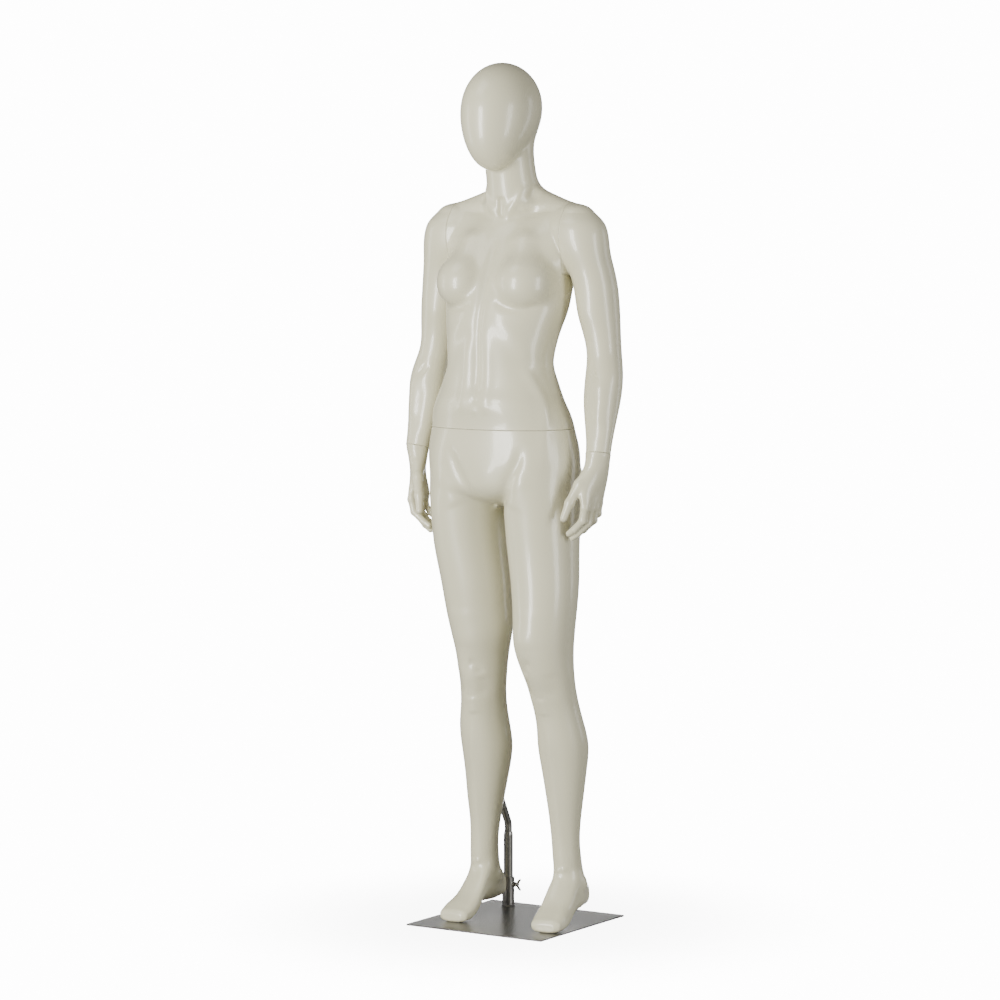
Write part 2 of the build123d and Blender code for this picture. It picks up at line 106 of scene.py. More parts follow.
def column(P, rows, power=2.0):
    """A body of level ovals: height, middle x and y, half width, front and back half depth."""
    z = P[:, 2]
    s = rows(z)
    x, y = P[:, 0] - s[:, 0], P[:, 1] - s[:, 1]
    deep = np.where(y < 0, s[:, 3], s[:, 4])
    d = oval_distance(x, y, s[:, 2], deep, power)
    low, high = rows.span
    over = np.maximum(np.maximum(z - high, low - z), 0)
    return np.where(over > 0, np.hypot(np.maximum(d, 0), over), d)


def rows_of(table):
    """Spline rows for column(); a single half depth serves front and back."""
    table = [r if len(r) == 6 else (*r, r[-1]) for r in table]
    at = curve_through(table)

    def rows(z):
        return at(z)

    rows.span = (min(r[0] for r in table), max(r[0] for r in table))
    return rows


def ellipsoid(P, centre, size):
    q = P - np.array(centre, float)
    r = np.linalg.norm(q, axis=1) + 1e-9
    k = np.linalg.norm(q / np.array(size, float), axis=1) + 1e-9
    return r - r / k


def capsule(P, a, b, ra, rb=None):
    """A rod with round ends whose radius runs from ra to rb."""
    a, b = np.array(a, float), np.array(b, float)
    rb = ra if rb is None else rb
    t = np.clip((P - a) @ (b - a) / ((b - a) @ (b - a)), 0, 1)
    return np.linalg.norm(P - a - t[:, None] * (b - a), axis=1) - (ra + (rb - ra) * t)


def smooth_line(points, steps=6):
    """A rounded line through the points."""
    points = np.array(points, float)
    if len(points) < 3:
        return points
    ts = np.linspace(0, len(points) - 1, (len(points) - 1) * steps + 1)
    return curve_through([(i, *p) for i, p in enumerate(points)])(ts)


def near_line(P, points):
    """Distance from a rounded line, and how far along it the nearest point is, from 0 to 1."""
    line = smooth_line(points)
    best = np.full(len(P), 1e9)
    along = np.zeros(len(P))
    for i in range(len(line) - 1):
        a, b = line[i], line[i + 1]
        t = np.clip((P - a) @ (b - a) / ((b - a) @ (b - a)), 0, 1)
        d = np.linalg.norm(P - a - t[:, None] * (b - a), axis=1)
        near = d < best
        best[near] = d[near]
        along[near] = ((i + t) / (len(line) - 1))[near]
    return best, along


class Sculpt:
    """Soft ridges (positive height) and furrows (negative), laid along lines on the surface.

    A line of (x, z) lies on the front, or on the back; a line of (x, y, z) lies where it is.
    """

    def __init__(self, middle=((0, 0), (2000, 0))):
        self.middle = np.array(middle, float)   # height and y of what parts front from back
        self.strokes = []

    def stroke(self, points, height, width, fade=0.25, back=False):
        self.strokes.append((np.array(points, float), height, width, fade, back))

    def pair(self, points, height, width, fade=0.25, back=False, about=MIDLINE):
        """The same stroke on both sides of a middle plane, given on the left."""
        points = np.array(points, float)
        twin = points.copy()
        twin[:, 0] = 2 * about - twin[:, 0]
        self.stroke(points, height, width, fade, back)
        self.stroke(twin, height, width, fade, back)

    def height(self, P):
        total = np.zeros(len(P))
        ahead = np.interp(P[:, 2], self.middle[:, 0], self.middle[:, 1]) - P[:, 1]
        for points, height, width, fade, back in self.strokes:
            flat = points.shape[1] == 2
            Q = P[:, (0, 2)] if flat else P
            reach = 2.6 * width
            near = np.all((Q > points.min(0) - reach) & (Q < points.max(0) + reach), axis=1).nonzero()[0]
            if not len(near):
                continue
            ends = 1.0
            if len(points) == 1:
                d = np.linalg.norm(Q[near] - points[0], axis=1)
            else:
                d, along = near_line(Q[near], points)
                if fade:
                    ends = np.clip(np.minimum(along, 1 - along) / fade + 0.1, 0, 1)
                    ends = ends * ends * (3 - 2 * ends)
            if flat:
                side = np.clip((-ahead if back else ahead)[near] / 25, 0, 1)
                ends = ends * side * side * (3 - 2 * side)
            total[near] += height * ends * np.exp(-((d / width) ** 2))
        return total


# ---------------------------------------------------------------- fields to meshes


def in_chunks(field, P, size=400000):
    return np.concatenate([field(P[i:i + size]) for i in range(0, len(P), size)])


def gradient(field, P, step):
    e = np.array([(1, -1, -1), (-1, -1, 1), (-1, 1, -1), (1, 1, 1)], float)
    return sum(k * in_chunks(field, P + k * step)[:, None] for k in e) / (4 * step)


def surface(field, low, high, step, passes=3):
    """Points and quads on a field's zero level."""
    low, high = np.array(low, float), np.array(high, float)
    block = 8
    blocks = np.ceil((high - low) / (step * block)).astype(int)
    size = blocks * block
    index = np.stack(np.meshgrid(*[np.arange(n) for n in blocks], indexing="ij"), -1).reshape(-1, 3)
    middle = low + (index * block + (block - 1) / 2) * step
    d = in_chunks(field, middle)
    values = np.repeat(np.repeat(np.repeat(d.reshape(blocks), block, 0), block, 1), block, 2)
    values = values.astype(np.float32)
    active = index[np.abs(d) < block * step * 1.6]
    cell = np.stack(np.meshgrid(*[np.arange(block)] * 3, indexing="ij"), -1).reshape(-1, 3)
    for i in range(0, len(active), 800):
        at = (active[i:i + 800, None, :] * block + cell[None]).reshape(-1, 3)
        values[at[:, 0], at[:, 1], at[:, 2]] = field(low + at * step)
    band = 3 * step
    grid = openvdb.FloatGrid(band)
    grid.copyFromArray(np.clip(values, -band, band))
    points, quads = grid.convertToQuads(isovalue=0.0)
    points = low + points.astype(float) * step
    for _ in range(passes):
        g = gradient(field, points, 0.4)
        f = in_chunks(field, points)
        move = (f / np.maximum((g ** 2).sum(1), 0.05))[:, None] * g
        length = np.linalg.norm(move, axis=1, keepdims=True) + 1e-12
        points -= move * np.minimum(1, step / length)
    return points, quads[:, ::-1]


def cut(bm, point, normal, above=-1000, edge=0.9):
    """Cuts away what lies beyond a plane, and closes it with a flat face and an eased edge."""
    point, normal = Vector(point), Vector(normal).normalized()

    def slice_at(offset, clear):
        faces = [f for f in bm.faces if all(v.co.z > above for v in f.verts)]
        whole = list({v for f in faces for v in f.verts} | {e for f in faces for e in f.edges} | set(faces))
        whole.sort(key=lambda g: (type(g).__name__, g.index))
        return bmesh.ops.bisect_plane(
            bm, geom=whole, dist=1e-4, plane_co=point + normal * offset, plane_no=normal, clear_outer=clear
        )["geom_cut"]

    slice_at(-edge, False)
    ring = slice_at(0.0, True)
    verts = {v for v in ring if isinstance(v, bmesh.types.BMVert)}
    edges = [e for e in ring if isinstance(e, bmesh.types.BMEdge)]
    made = bmesh.ops.holes_fill(bm, edges=edges, sides=0)["faces"]
    for face in made:
        face.smooth = False
    bm.normal_update()
    moves = {}
    for v in verts:
        out = Vector((0, 0, 0))
        for f in v.link_faces:
            if f not in made:
                out += f.normal
        out -= normal * out.dot(normal)
        if out.length > 1e-6:
            moves[v] = v.co - out.normalized() * edge * 0.8
    for v, co in moves.items():
        v.co = co
    for e in edges:
        if e.is_valid:
            e.smooth = False


def build(name, field, low, high, step, cuts=()):
    """A smooth-shaded object in metres from a field in millimetres."""
    points, quads = surface(field, low, high, step)
    mesh = bpy.data.meshes.new(name)
    mesh.from_pydata(points.tolist(), [], quads.tolist())
    bm = bmesh.new()
    bm.from_mesh(mesh)
    for f in bm.faces:
        f.smooth = True
    for plane in cuts:
        bm.verts.index_update()
        bm.edges.index_update()
        bm.faces.index_update()
        cut(bm, *plane)
    bmesh.ops.scale(bm, vec=(0.001, 0.001, 0.001), verts=bm.verts)
    bm.to_mesh(mesh)
    bm.free()
    obj = bpy.data.objects.new(name, mesh)
    bpy.context.scene.collection.objects.link(obj)
    return obj


def mirrored(obj, name):
    """The mirror image of a piece across the torso's middle plane."""
    mesh = obj.data.copy()
    mesh.name = name
    bm = bmesh.new()
    bm.from_mesh(mesh)
    for v in bm.verts:
        v.co.x = 2 * MIDLINE * 0.001 - v.co.x
    bmesh.ops.reverse_faces(bm, faces=bm.faces)
    bm.to_mesh(mesh)
    bm.free()
    twin = bpy.data.objects.new(name, mesh)
    bpy.context.scene.collection.objects.link(twin)
    return twin


# ---------------------------------------------------------------- head, neck and torso

# Level sections: height, middle x and y, half width, front and back half depth
TRUNK = rows_of([
    (990, -14, -24, 166, 111),
    (WAIST_SEAM, -14, -26, 158, 106),
    (1065, -15, -31, 150, 106),
    (1090, -15, -35, 139, 104),
    (1114, -15, -34, 129, 98),
    (1139, -15, -34, 120, 93),
    (1164, -15, -35, 114, 90),
    (1188, -14, -34, 115, 91),
    (1237, -12, -27, 124, 97),
    (1274, -10, -18, 132, 101),
    (1310, -10, -10, 137, 99),
    (1345, -10, -3, 141, 94),
    (1380, -10, 4, 146, 87),
    (1412, -10, 9, 154, 76),
    (1440, -10, 12, 158, 60),
    (1462, -10, 14, 150, 42),
    (1476, -10, 14, 130, 30),
])
NECK = rows_of([
    (1440, -10, 10, 60, 52),
    (1480, -10, 9, 57, 53),
    (1510, -10, 5, 54, 54),
    (1535, -10, 1, 52.5, 54),
    (1565, -10, -6, 51.5, 53),
    (1595, -10, -12, 51, 52),
    (1625, -10, -18, 50, 51),
    (1660, -10, -25, 46, 48),
])
ARM = rows_of([
    (h, MIDLINE + out, y, a, b)
    for h, out, y, a, b in [
        (1474, 150, 14, 14, 20),
        (1460, 157, 14, 33, 38),
        (1440, 162, 14, 43.5, 48),
        (1405, 169, 15, 46, 50),
        (1374, 175, 20, 46, 49.5),
        (1338, 183, 26, 44.5, 48),
        (1288, 190, 29, 43, 47),
        (1240, 197, 30, 39, 42),
        (1191, 205, 29, 35, 38),
        (1142, 213, 16, 38.5, 38),
        (1094, 214, 7, 38, 37),
        (1045, 217, -5, 32, 30),
        (1005, 220, -15, 27, 25),
        (985, 221, -20, 25.5, 24.5),
        (950, 223, -29, 25, 24),
    ]
])
body_marks = Sculpt(middle=((1000, -20), (1200, -20), (1350, 10), (1500, 10), (1800, -10)))
# Neck: the notch, the two cords that rise from it, and the hollows over and under the collar bones
body_marks.stroke([(-9, 1508), (-10, 1486), (-11, 1462)], -6, 6.5, fade=0.2)
body_marks.pair([(0, 1464), (14, 1482), (31, 1507), (40, 1535)], 4.5, 8, fade=0.35)
body_marks.pair([(4, 1461), (26, 1465), (58, 1473), (100, 1484)], -2.6, 8)
body_marks.pair([(26, 1484), (52, 1490), (84, 1496)], 2.4, 11)
body_marks.pair([(40, 1514), (62, 1510)], -4, 13)
# Chest and belly
body_marks.stroke(
    [(-10, 1425), (-10, 1350), (-12, 1300), (-15, 1250), (-16, 1180), (-16, 1091)], -5.5, 11, fade=0.1
)
body_marks.stroke([(-15, 1093)], -2.5, 8)
body_marks.stroke([(-16, 1072)], 2.0, 9)
body_marks.pair([(16, 1298), (44, 1284), (78, 1279), (112, 1292)], -3.6, 9)
body_marks.pair([(12, 1266), (34, 1252), (60, 1230), (82, 1196), (96, 1155)], 1.8, 16, fade=0.4)
body_marks.pair([(10, 1239), (28, 1226), (50, 1200), (66, 1168), (76, 1136)], -2.2, 18, fade=0.4)
body_marks.pair([(9, 1225), (11, 1170), (12, 1100), (12, 1060)], 2.8, 12, fade=0.35, about=-16)
body_marks.pair(
    [
        (75, -92, 1168), (86, -86, 1142), (102, -78, 1114),
        (114, -75, 1085), (120, -79, 1050), (121, -82, 1022),
    ],
    3.6, 12, fade=0.3,
)
# Back
body_marks.stroke([(-10, 1450), (-10, 1330), (-12, 1180), (-13, 1050)], -7, 15, back=True)
body_marks.pair([(70, 1420), (76, 1365), (58, 1305)], 6, 26, back=True)
body_marks.pair([(52, 1290), (40, 1200), (34, 1090)], 3, 24, back=True)
body_marks.pair([(34, 1042)], -2.5, 11, back=True)


def trunk(P, M):
    """Trunk, shoulders and bust; M holds the same points folded over to the left side."""
    d = column(P, TRUNK, 2.15)
    slope = capsule(M, (40, 22, 1501), (138, 14, 1471), 28, 22)
    d = join(d, slope, 34)
    girdle = capsule(M, (100, 12, 1446), (146, 12, 1438), 38, 44)
    d = join(d, girdle, 30)
    bust = ellipsoid(M, (72, -58, 1330), (60, 68, 60))
    upper = capsule(M, (62, -34, 1400), (70, -52, 1345), 40, 52)
    return join(d, join(bust, upper, 30), 20)


def upper_arm(M):
    """The arm and its shoulder cap, from points folded over to the left side."""
    Q = M + (MIDLINE, 0, 0)
    cap = ellipsoid(M, (139, 13, 1428), (69, 49, 65))
    return join(column(Q, ARM, 2.1), cap, 40)


def folded(P):
    M = P.copy()
    M[:, 0] = np.abs(P[:, 0] - MIDLINE)
    return M


def torso_field(P):
    M = folded(P)
    shoulder = upper_arm(M) + np.maximum(1330 - P[:, 2], 0)
    d = join(trunk(P, M), shoulder, 4)
    d = join(d, column(P, NECK), 34)
    skull = ellipsoid(P, (MIDLINE, -36, 1690), (74.5, 98, 90))
    jaw = ellipsoid(P, (MIDLINE, -72, 1636), (52, 60, 76))
    nape = 10 + 0.9 * np.clip(P[:, 1] + 20, 0, 45)
    d = join(d, join(skull, jaw, 70), nape)
    return d - body_marks.height(P)


# ---------------------------------------------------------------- pelvis, legs and feet

PELVIS = rows_of([
    (1075, -15, -32, 147, 106),
    (WAIST_SEAM, -14, -26, 158, 106),
    (1000, -14, -24, 165, 110),
    (960, -13, -21, 167, 111),
    (930, -12, -18, 158, 109),
    (905, -12, -16, 128, 102),
    (892, -12, -12, 84, 90),
    (881, -12, -8, 44, 66),
    (873, -12, -6, 16, 38),
])
LEFT_LEG = rows_of([
    (1030, 62, -22, 60, 90, 84),
    (990, 69, -20, 72, 97, 90),
    (950, 74, -18, 76, 100, 91),
    (900, 77, -18, 76, 98, 90),
    (860, 78, -18, 75, 94, 88),
    (795, 80, -20, 72, 85, 82),
    (720, 85, -22, 68, 78),
    (645, 86, -25, 63, 73),
    (569, 86, -24, 57, 67),
    (519, 91, -14, 51, 57),
    (470, 94, 2, 47, 53),
    (420, 98, 17, 48, 54),
    (375, 99, 27, 51, 57),
    (325, 100, 30, 46, 51),
    (268, 101, 31, 38, 43),
    (210, 102, 31, 31, 35),
    (160, 103.5, 32, 28, 33),
    (118, 105.5, 37, 28, 35),
    (80, 108, 44, 26, 34),
])
RIGHT_LEG = rows_of([
    (1030, -88, -22, 60, 90, 84),
    (990, -95, -20, 72, 97, 90),
    (950, -99, -17, 76, 100, 91),
    (900, -102, -17, 77, 98, 90),
    (860, -103, -17, 75, 94, 88),
    (790, -100, -17, 74, 85, 82),
    (711, -89, -14, 72, 77),
    (660, -85, -10, 69, 73),
    (610, -81, -6, 64, 68),
    (559, -81, -2, 54, 60),
    (509, -83, 3, 49, 54),
    (460, -87, 12, 46, 53),
    (406, -92, 24, 51, 57),
    (360, -91, 31, 52, 57),
    (303, -92, 33, 45, 50),
    (252, -95, 33, 38, 43),
    (200, -96.5, 32, 31, 35),
    (149, -98.5, 32, 28, 33),
    (112, -100, 37, 28, 35),
    (78, -101, 44, 26, 34),
])
# Foot: distance forward of the ankle, underside, top, half width
FOOT = curve_through([
    (-55, 40, 58, 12),
    (-50, 35, 72, 20),
    (-38, 31, 88, 24.5),
    (-12, 29, 106, 28),
    (22, 29, 108, 29),
    (50, 25, 86, 30.5),
    (76, 11, 61, 33),
    (98, 4.5, 47, 35),
    (114, 2.9, 39, 35),
    (128, 2.9, 32, 33),
    (136, 3.6, 27, 29),
    (140, 6.5, 22, 22),
])
leg_marks = Sculpt(middle=((100, 36), (300, 30), (560, -8), (900, -18)))
leg_marks.stroke([(88, 1010), (78, 966), (57, 929), (37, 895), (8, 866)], -5.5, 12, fade=0.3)
leg_marks.stroke([(-84, 1006), (-64, 952), (-40, 908), (-14, 868)], -5.5, 12, fade=0.3)
leg_marks.pair([(96, 950), (72, 905), (56, 870)], 3.0, 20, about=-10)
leg_marks.stroke([(2, 930)], 4, 34)
leg_marks.pair([(121, -82, 1050), (120, -84, 1000), (112, -88, 940)], 3.0, 13, fade=0.4, about=-13)
leg_marks.stroke([(-12, 1012), (-12, 930), (-12, 845)], -12, 11, fade=0.42, back=True)
leg_marks.pair([(8, 866), (52, 856), (100, 868), (126, 884)], -6, 11, back=True, about=-12)
leg_marks.pair([(128, 960)], -4, 26, back=True, about=-12)


def knee(x, z, inward):
    """Kneecap, the furrows round it, the shin below and the muscle above its inner side."""
    leg_marks.stroke([(x, z)], 3, 22)
    for furrow, height, width in (
        ([(27, 6), (20, 26), (2, 34)], -2.6, 9),
        ([(-27, 16), (-30, -14), (-18, -38)], -1.6, 12),
        ([(26, 4), (28, -20), (14, -42)], -2.0, 10),
    ):
        leg_marks.stroke([(x + inward * dx, z + dz) for dx, dz in furrow], height, width)
    leg_marks.stroke([(x, z - 40), (x + 2, z - 80)], 2.4, 13)
    leg_marks.stroke([(x + inward * 26, z + 78)], 3, 26)
    leg_marks.stroke([(x, z + 60), (x, z + 150)], 1.6, 26)
    leg_marks.stroke([(x - 20, z + 30), (x - 20, z - 40)], -3, 14, back=True)
    leg_marks.stroke([(x + 20, z + 30), (x + 20, z - 40)], -3, 14, back=True)


knee(92, 520, -1)
knee(-84, 512, 1)
for ankle_x, ankle_y, low in ((109, 41, 84), (-101, 40, 82)):
    leg_marks.stroke([(ankle_x + 27, ankle_y + 8, low)], 5, 11)
    leg_marks.stroke([(ankle_x - 27, ankle_y + 2, low + 8)], 5.5, 11)
    for side, foot_of_it in ((1, 8), (-1, 10)):
        leg_marks.stroke([
            (ankle_x + side * 22, ankle_y + 26, low + foot_of_it),
            (ankle_x + side * 20, ankle_y + 30, low + 60),
        ], -4, 9)
    leg_marks.stroke([(ankle_x - 7, 116)], 2.2, 5)
    leg_marks.stroke([(ankle_x + 6, 118)], 2.2, 5)
leg_marks.stroke([(98, 440), (102, 300), (110, 150)], 2.5, 9)
leg_marks.stroke([(-90, 430), (-94, 290), (-96, 150)], 2.5, 9)


def foot(P, ankle, toe_out, outward):
    turn = math.radians(toe_out)
    x, y = P[:, 0] - ankle[0], P[:, 1] - ankle[1]
    forward = x * math.sin(turn) - y * math.cos(turn)
    across = x * math.cos(turn) + y * math.sin(turn)
    s = FOOT(forward)
    middle, tall = (s[:, 0] + s[:, 1]) / 2, (s[:, 1] - s[:, 0]) / 2
    middle = middle - 0.34 * outward * across * np.exp(-((forward - 48) / 38) ** 2)
    d = oval_distance(across, P[:, 2] - middle, s[:, 2], tall, 2.8)
    over = np.maximum(np.maximum(forward - 140, -56 - forward), 0)
    return np.where(over > 0, np.hypot(np.maximum(d, 0), over), d)


def legs_field(P):
    d = column(P, PELVIS, 2.1)
    left = join(column(P, LEFT_LEG), foot(P, (109, 41), 9.0, 1), 28)
    right = join(column(P, RIGHT_LEG), foot(P, (-101, 40), 2.5, -1), 28)
    d = join(join(d, left, 27), right, 27)
    M = P.copy()
    M[:, 0] = np.abs(P[:, 0] + 12)
    seat = ellipsoid(M, (72, 40, 908), (76, 62, 76))
    d = join(d, seat, 34)
    return d - leg_marks.height(P)


# ---------------------------------------------------------------- arm

arm_marks = Sculpt(middle=((950, -25), (1050, -5), (1150, 16), (1200, 29), (1450, 16)))
arm_marks.stroke([(206, 1150), (190, 1140)], -2.5, 12)
arm_marks.stroke([(218, 1140), (222, 1090), (216, 1040)], 3, 14)
arm_marks.stroke([(196, 1120), (202, 1060), (208, 1010)], -2, 12)
arm_marks.stroke([(203, 1146)], 5, 15, back=True)
arm_marks.stroke([(188, 1175), (184, 1240), (180, 1300)], -2, 14, back=True)
arm_marks.stroke([(172, 1270)], 2.5, 26)


def arm_field(P):
    M = folded(P)
    root = trunk(P, M) + 0.8 * np.maximum(1352 - P[:, 2], 0)
    return join(upper_arm(M), root, 4) - arm_marks.height(P)


WRIST = np.array((MIDLINE + 221.0, -20.0, 985.0))
FOREARM = np.array((0.066, -0.26, -1.0)) / np.linalg.norm((0.066, -0.26, -1.0))

# ---------------------------------------------------------------- hand

# Left hand, from the wrist's centre. Palm: height, x, y, half width, half thickness, and the
# turn of its width from +X, which brings the palm round to face the thigh
PALM = curve_through([
    (25, 2, 6, 26.5, 24.5, 48),
    (0, 0, 0, 26, 24, 52),
    (-20, -1, -1, 25.5, 20.5, 58),
    (-50, -4, -5, 30, 15.5, 70),
    (-80, -8, -9, 35.5, 13.5, 82),
    (-100, -9, -10, 35.5, 11.5, 88),
    (-113, -9, -10, 30, 8, 90),
])
# Finger joints: x, y, height and radius, from the root inside the palm
FINGERS = {
    "index": [
        (-8, -29, -86, 8), (-9, -37, -108, 8.6), (-15, -36, -134, 7.8),
        (-36, -34, -153, 7), (-50, -33, -162, 6.2),
    ],
    "middle": [
        (-9, -16, -86, 8), (-8, -19, -110, 8.8), (-12, -20, -140, 8),
        (-34, -22, -161, 7.2), (-47, -23, -171, 6.3),
    ],
    "ring": [
        (-9, -1, -86, 8), (-7, -1, -108, 8.4), (-9, -2, -135, 7.6),
        (-30, -7, -155, 6.8), (-43, -10, -164, 6),
    ],
    "little": [
        (-9, 12, -82, 7), (-8, 17, -102, 7.6), (-9, 16, -123, 6.7),
        (-26, 9, -139, 5.9), (-38, 5, -147, 5.3),
    ],
}
THUMB = [(-7, -10, -26, 12), (-23, -35, -60, 11), (-37, -51, -98, 9.4), (-45, -61, -129, 7.3)]


def digit(Q, joints, soft):
    f = None
    for a, b in zip(joints, joints[1:]):
        piece = capsule(Q, a[:3], b[:3], a[3], b[3])
        f = piece if f is None else join(f, piece, soft)
    return f


def hand_field(P):
    Q = P - WRIST
    s = PALM(Q[:, 2])
    x, y = Q[:, 0] - s[:, 0], Q[:, 1] - s[:, 1]
    turn = np.radians(s[:, 4])
    across, through = x * np.cos(turn) + y * np.sin(turn), y * np.cos(turn) - x * np.sin(turn)
    d = oval_distance(across, through, s[:, 2], s[:, 3], 2.2)
    over = np.maximum(np.maximum(Q[:, 2] - 25, -113 - Q[:, 2]), 0)
    d = np.where(over > 0, np.hypot(np.maximum(d, 0), over), d)
    for joints in FINGERS.values():
        d = join(d, digit(Q, joints, 5), 7)
    return join(d, digit(Q, THUMB, 8), 18)


# ---------------------------------------------------------------- build the skins

STEP = 2.5
HAND_STEP = 1.2

torso = build(
    "torso_skin", torso_field, (-210, -160, 1015), (190, 120, 1800), STEP,
    cuts=[
        ((0, 0, WAIST_SEAM + SEAM_GAP / 2), (0, 0, -1)),
        ((MIDLINE + SHOULDER_SEAM - 0.2, 0, 0), (1, 0, 0), 1220, 0.5),
        ((MIDLINE - SHOULDER_SEAM + 0.2, 0, 0), (-1, 0, 0), 1220, 0.5),
    ],
)
legs = build(
    "legs_skin", legs_field, (-215, -160, -10), (200, 130, 1055), STEP,
    cuts=[((0, 0, WAIST_SEAM - SEAM_GAP / 2), (0, 0, 1))],
)
WRIST_UP = WRIST - FOREARM * SEAM_GAP / 2
WRIST_DOWN = WRIST + FOREARM * SEAM_GAP / 2
left_arm = build(
    "left_arm_skin", arm_field, (112, -90, 940), (265, 110, 1520), STEP * 0.8,
    cuts=[
        ((MIDLINE + SHOULDER_SEAM + 0.2, 0, 0), (-1, 0, 0), -1000, 0.5),
        (tuple(WRIST_UP), tuple(FOREARM)),
    ],
)
left_hand = build(
    "left_hand_skin", hand_field, (160, -130, 790), (270, 20, 1010), HAND_STEP,
    cuts=[(tuple(WRIST_DOWN), tuple(-FOREARM))],
)
right_arm = mirrored(left_arm, "right_arm_skin")
right_hand = mirrored(left_hand, "right_hand_skin")

for obj, body, shells in [
    (torso, "torso", ("midriff_shell", "chest_shell", "head_shell")),
    (legs, "legs", ("pelvis_shell", "left_leg_shell", "right_leg_shell")),
    (left_arm, "left_arm", ("left_arm_shell",)),
    (right_arm, "right_arm", ("right_arm_shell",)),
    (left_hand, "left_hand", ("left_hand",)),
    (right_hand, "right_hand", ("right_hand",)),
]:
    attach(obj, body)
    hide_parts(*shells)


# ---------------------------------------------------------------- materials


def principled(name):
    mat = bpy.data.materials.new(name)
    mat.use_nodes = True
    nodes, links = mat.node_tree.nodes, mat.node_tree.links
    return mat, nodes, links, nodes["Principled BSDF"]


def put(shader, **values):
    for name, value in values.items():
        shader.inputs[name.replace("_", " ")].default_value = value


def noise(nodes, links, where, scale, detail, stretch=None):
    """Noise in the piece's own space; stretch scales each axis, for a brushed grain."""
    tone = nodes.new("ShaderNodeTexNoise")
    tone.inputs["Scale"].default_value = scale
    tone.inputs["Detail"].default_value = detail
    source = where.outputs["Object"]
    if stretch:
        mapping = nodes.new("ShaderNodeMapping")
        mapping.inputs["Scale"].default_value = stretch
        links.new(source, mapping.inputs["Vector"])
        source = mapping.outputs["Vector"]
    links.new(source, tone.inputs["Vector"])
    return tone.outputs["Fac"]


def ramp(nodes, links, value, low, high, colours):
    r = nodes.new("ShaderNodeValToRGB")
    for e, at, colour in zip(r.color_ramp.elements, (low, high), colours):
        e.position = at
        e.color = (*colour, 1)
    links.new(value, r.inputs["Fac"])
    return r.outputs["Color"]


def spread(nodes, links, value, low, high):
    m = nodes.new("ShaderNodeMapRange")
    m.inputs["To Min"].default_value = low
    m.inputs["To Max"].default_value = high
    links.new(value, m.inputs["Value"])
    return m.outputs["Result"]


def bumped(nodes, links, shader, value, strength, distance):
    b = nodes.new("ShaderNodeBump")
    b.inputs["Strength"].default_value = strength
    b.inputs["Distance"].default_value = distance
    links.new(value, b.inputs["Height"])
    links.new(b.outputs["Normal"], shader.inputs["Normal"])


def painted_shell():
    """Sprayed cream gloss: a faint mottle, a slight orange peel, and a clear coat."""
    mat, nodes, links, shader = principled("cream_gloss_paint")
    where = nodes.new("ShaderNodeTexCoord")
    tone = noise(nodes, links, where, 4.0, 3.0)
    colour = ramp(nodes, links, tone, 0.3, 0.7, [(0.60, 0.570, 0.395), (0.63, 0.600, 0.42)])
    links.new(colour, shader.inputs["Base Color"])
    cloud = noise(nodes, links, where, 9.0, 4.0)
    links.new(spread(nodes, links, cloud, 0.36, 0.46), shader.inputs["Roughness"])
    bumped(nodes, links, shader, noise(nodes, links, where, 190.0, 1.0), 0.05, 0.001)
    put(shader, Coat_Weight=0.55, Coat_Roughness=0.14, Coat_IOR=1.5)
    return mat


def metal(name, dark, light, rough, grain, scale, depth=0.06, edge=(1, 1, 1)):
    """Bare metal with a drawn or brushed grain."""
    mat, nodes, links, shader = principled(name)
    where = nodes.new("ShaderNodeTexCoord")
    lines = noise(nodes, links, where, scale, 4.0, grain)
    links.new(ramp(nodes, links, lines, 0.3, 0.7, [dark, light]), shader.inputs["Base Color"])
    links.new(spread(nodes, links, lines, *rough), shader.inputs["Roughness"])
    bumped(nodes, links, shader, lines, depth, 0.0004)
    put(shader, Metallic=1.0, Specular_Tint=(*edge, 1))
    return mat


SHELL = painted_shell()
PLATE = metal(
    "brushed_plate", (0.27, 0.265, 0.255), (0.32, 0.315, 0.305), (0.30, 0.38), (6, 120, 6), 3.0,
    depth=0.03, edge=(0.75, 0.75, 0.74),
)
ROD = metal("satin_rod", (0.24, 0.235, 0.22), (0.28, 0.275, 0.26), (0.30, 0.38), (24, 24, 2), 3.0, 0.02)
FITTING = metal("bright_fitting", (0.50, 0.49, 0.47), (0.60, 0.59, 0.57), (0.22, 0.32), (40, 40, 40), 3.0)


def peg_plastic():
    mat, nodes, links, shader = principled("peg_plastic")
    where = nodes.new("ShaderNodeTexCoord")
    tone = noise(nodes, links, where, 30.0, 2.0)
    colour = ramp(nodes, links, tone, 0.3, 0.7, [(0.045, 0.045, 0.045), (0.06, 0.06, 0.058)])
    links.new(colour, shader.inputs["Base Color"])
    put(shader, Roughness=0.5)
    return mat


PEG = peg_plastic()
for obj in (torso, legs, left_arm, right_arm, left_hand, right_hand):
    obj.data.materials.append(SHELL)
ROD_NODES = ("post_tube", "crank_rod", "post_socket", "clamp_nut", "calf_socket")
for name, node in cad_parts.items():
    if name == "base_plate":
        finish = PLATE
    elif name in ROD_NODES:
        finish = ROD
    elif "wrist_peg" in name or "wrist_bush" in name:
        finish = PEG
    else:
        finish = FITTING
    node.data.materials.clear()
    node.data.materials.append(finish)

# ---------------------------------------------------------------- room, lights and camera

AIM_XY = Vector((-0.033 * math.cos(math.radians(32.75)), -0.033 * math.sin(math.radians(32.75)), 0))
AZIMUTH = math.radians(32.75)
DISTANCE = 8.0


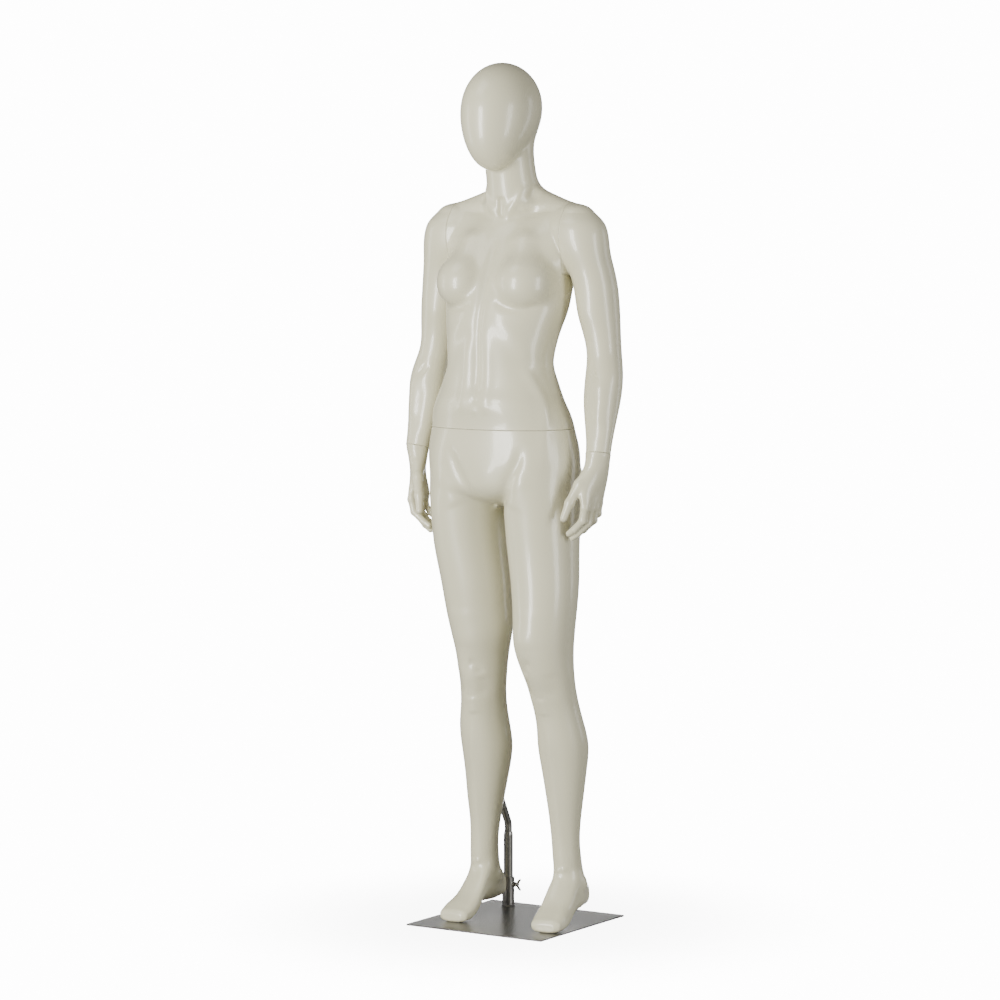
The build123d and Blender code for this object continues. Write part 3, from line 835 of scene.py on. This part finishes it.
def floor():
    """A pale floor that gives way to the cyclorama a step away from the base."""
    bm = bmesh.new()
    bmesh.ops.create_grid(bm, x_segments=2, y_segments=2, size=1.2)
    mesh = bpy.data.meshes.new("floor")
    bm.to_mesh(mesh)
    bm.free()
    obj = bpy.data.objects.new("floor", mesh)
    bpy.context.scene.collection.objects.link(obj)
    mat, nodes, links, shader = principled("floor_white")
    put(shader, Base_Color=(0.9, 0.9, 0.9, 1), Roughness=0.9)
    where = nodes.new("ShaderNodeTexCoord")
    far = nodes.new("ShaderNodeVectorMath")
    far.operation = "LENGTH"
    links.new(where.outputs["Object"], far.inputs[0])
    solid = nodes.new("ShaderNodeMapRange")
    solid.interpolation_type = "SMOOTHSTEP"
    for key, value in (("From Min", 0.2), ("From Max", 0.75), ("To Min", 0.4), ("To Max", 0.0)):
        solid.inputs[key].default_value = value
    links.new(far.outputs["Value"], solid.inputs["Value"])
    links.new(solid.outputs["Result"], shader.inputs["Alpha"])
    obj.data.materials.append(mat)
    obj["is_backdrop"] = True


def area_light(name, place, aim, wide, tall, power):
    light = bpy.data.lights.new(name, "AREA")
    light.shape = "RECTANGLE"
    light.size, light.size_y = wide, tall
    light.energy = power
    obj = bpy.data.objects.new(name, light)
    obj.location = place
    obj.rotation_euler = (Vector(aim) - Vector(place)).to_track_quat("-Z", "Y").to_euler()
    bpy.context.scene.collection.objects.link(obj)


def toward(azimuth, distance, height):
    """A place round the figure: azimuth 0 is in front, 90 at its left."""
    a = math.radians(azimuth)
    return (math.sin(a) * distance, -math.cos(a) * distance, height)


def studio(room, behind):
    """A bright white screen behind the figure, in a dimmer room."""
    world = bpy.data.worlds.new("studio")
    bpy.context.scene.world = world
    world.use_nodes = True
    nodes, links = world.node_tree.nodes, world.node_tree.links
    where = nodes.new("ShaderNodeTexCoord")
    dot = nodes.new("ShaderNodeVectorMath")
    dot.operation = "DOT_PRODUCT"
    dot.inputs[1].default_value = (aim - camera.location).normalized()
    links.new(where.outputs["Generated"], dot.inputs[0])
    strength = nodes.new("ShaderNodeMapRange")
    strength.interpolation_type = "SMOOTHSTEP"
    for key, value in (("From Min", 0.968), ("From Max", 0.9835), ("To Min", 0.0), ("To Max", behind)):
        strength.inputs[key].default_value = value
    links.new(dot.outputs["Value"], strength.inputs["Value"])
    parts = nodes.new("ShaderNodeSeparateXYZ")
    links.new(where.outputs["Generated"], parts.inputs[0])
    below = nodes.new("ShaderNodeMapRange")
    for key, value in (("From Min", 0.058), ("From Max", 0.10), ("To Min", 1.0), ("To Max", 0.03)):
        below.inputs[key].default_value = value
    links.new(parts.outputs["Z"], below.inputs["Value"])
    total = nodes.new("ShaderNodeMath")
    total.operation = "MULTIPLY"
    links.new(strength.outputs["Result"], total.inputs[0])
    links.new(below.outputs["Result"], total.inputs[1])
    lit = nodes.new("ShaderNodeMath")
    lit.operation = "ADD"
    lit.inputs[1].default_value = room
    links.new(total.outputs["Value"], lit.inputs[0])
    background = nodes["Background"]
    background.inputs["Color"].default_value = (1, 1, 1, 1)
    links.new(lit.outputs["Value"], background.inputs["Strength"])


camera = bpy.data.objects.new("camera", bpy.data.cameras.new("camera"))
bpy.context.scene.collection.objects.link(camera)
camera.location = AIM_XY + Vector((math.sin(AZIMUTH) * DISTANCE, -math.cos(AZIMUTH) * DISTANCE, 1.532))
aim = AIM_XY + Vector((0, 0, 0.881))
camera.rotation_euler = (aim - camera.location).to_track_quat("-Z", "Y").to_euler()
camera.data.sensor_width = 36
camera.data.lens = 3880 * 36 / 1000
bpy.context.scene.camera = camera

floor()
area_light("key", toward(-7, 3.5, 1.35), (0, 0, 1.3), 0.9, 2.6, 225)
area_light("second", toward(-66, 3.5, 1.3), (0, 0, 1.3), 0.5, 2.4, 22)
area_light("side", toward(86, 3.4, 1.3), (0, 0, 1.3), 0.8, 2.5, 70)
area_light("rim", toward(140, 3.4, 1.35), (0, 0, 1.35), 0.6, 2.4, 16)
area_light("top", toward(-30, 1.6, 3.6), (0, 0, 1.2), 1.4, 1.4, 22)
studio(0.16, 14.0)

low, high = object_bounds()
